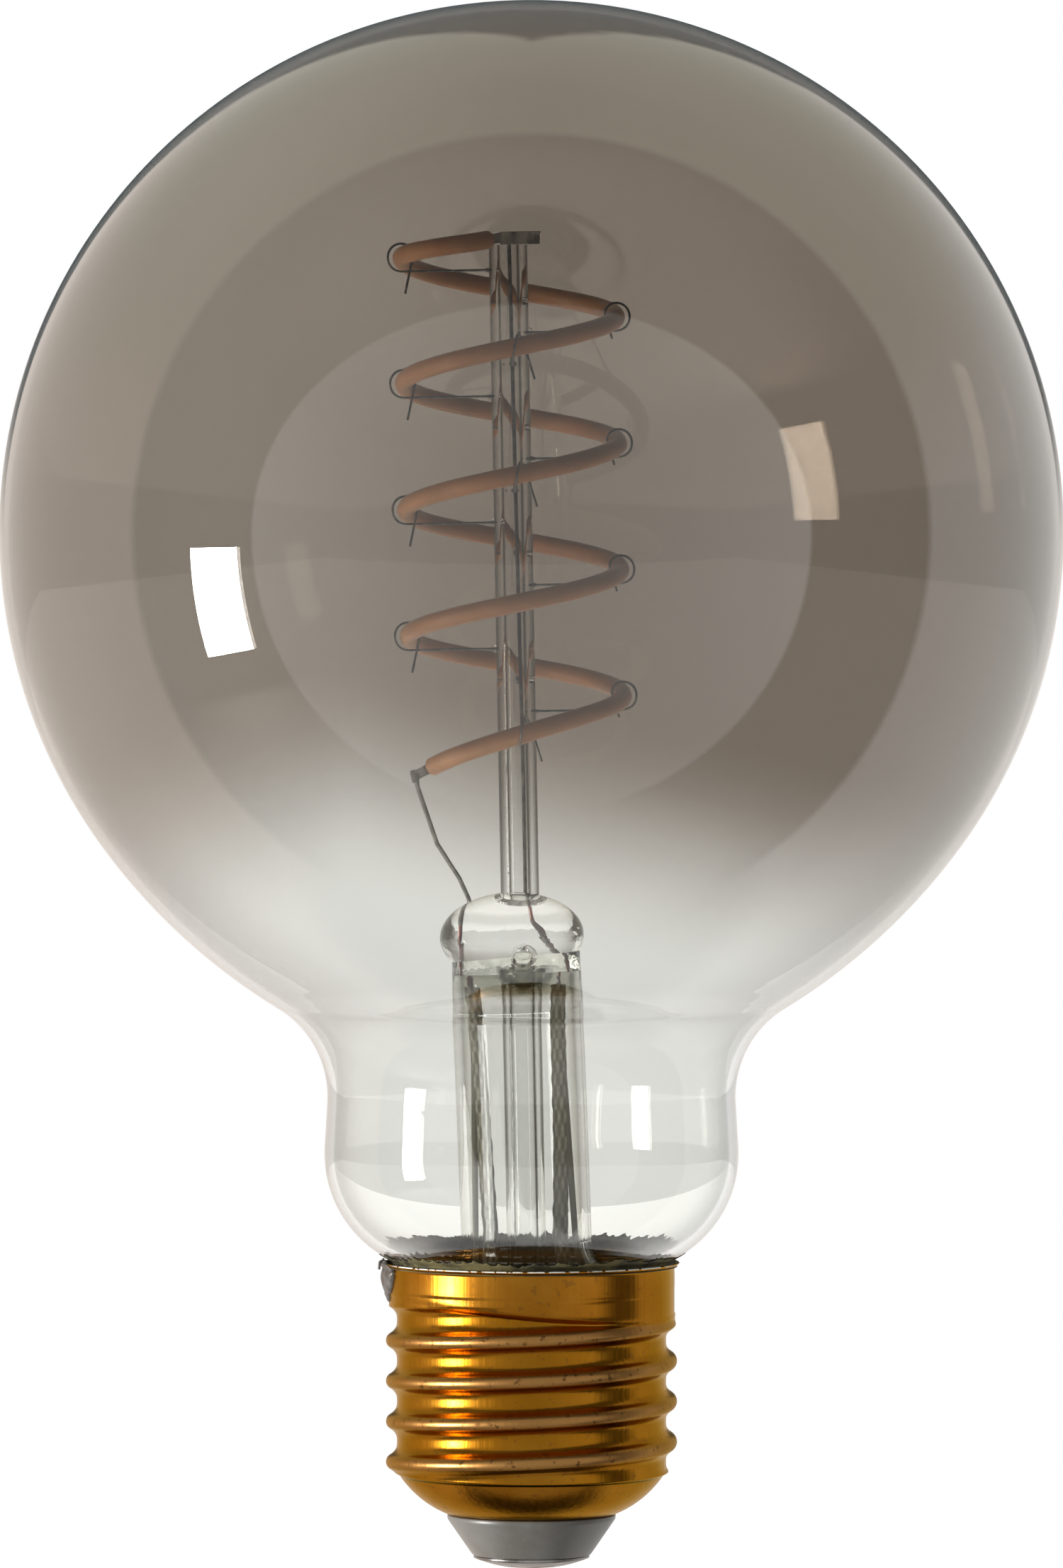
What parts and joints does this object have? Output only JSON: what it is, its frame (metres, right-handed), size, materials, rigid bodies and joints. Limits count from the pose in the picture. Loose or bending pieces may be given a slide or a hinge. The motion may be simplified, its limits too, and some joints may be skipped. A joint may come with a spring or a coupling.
{
  "type": "globe light bulb",
  "caption": "Smoke-tinted glass globe bulb with a flexible spiral filament on wire hooks, a glass stem and a rolled brass screw cap.",
  "frame": {"origin": "centre of the flat tip of the centre contact, the lowest point of the bulb", "axes": "+Z along the cap's axis from the contact to the top of the globe; +X to the right and -Y towards the viewer of the front"},
  "size_m": [0.095, 0.095, 0.14],
  "materials": {
    "globe_glass": "clear glass with a smoke tint that fades out towards the neck",
    "stem_glass": "clear drawn glass",
    "filament_silicone": "amber translucent silicone, satin",
    "nickel_metal": "plain drawn wire and strip",
    "copper_wire": "bare copper, slightly darkened by the seal",
    "cap_brass": "rolled brass, rubbed on the crests",
    "cement": "matte fired cement",
    "solder": "dull dark solder with flux round its edge",
    "cap_insulator": "smooth grey moulding",
    "contact_metal": "tinned, rubbed at the tip",
    "sleeve_braid": "glass-fibre braid",
    "driver_can": "white moulding",
    "board": "green solder mask",
    "chip_black": "black moulding",
    "capacitor_foil": "drawn can",
    "resistor_body": "lacquered"
  },
  "bodies": {
    "root": {"globe_envelope": "globe_glass", "stem_flare": "stem_glass", "exhaust_tube": "stem_glass", "support_tube": "stem_glass", "spiral_filament": "filament_silicone", "filament_tab_top": "nickel_metal", "filament_tab_bottom": "nickel_metal", "top_plate": "nickel_metal", "upper_lead": "nickel_metal", "lower_lead": "nickel_metal", "seal_wire_left": "copper_wire", "seal_wire_right": "copper_wire", "outer_lead_left": "copper_wire", "outer_lead_right": "copper_wire", "lead_sleeve_left": "sleeve_braid", "lead_sleeve_right": "sleeve_braid", "hooks_right": "nickel_metal", "hooks_left": "nickel_metal", "hooks_back": "nickel_metal", "hooks_front": "nickel_metal", "cap_cement": "cement", "cap_shell": "cap_brass", "rim_solder": "solder", "cap_insulator": "cap_insulator", "centre_contact": "contact_metal", "insulating_sleeve": "driver_can", "driver_board": "board", "bridge_rectifier": "chip_black", "driver_chip": "chip_black", "smoothing_capacitor": "capacitor_foil", "fuse_resistor": "resistor_body", "contact_lead": "copper_wire", "shell_lead": "copper_wire"}
  },
  "joints": []
}
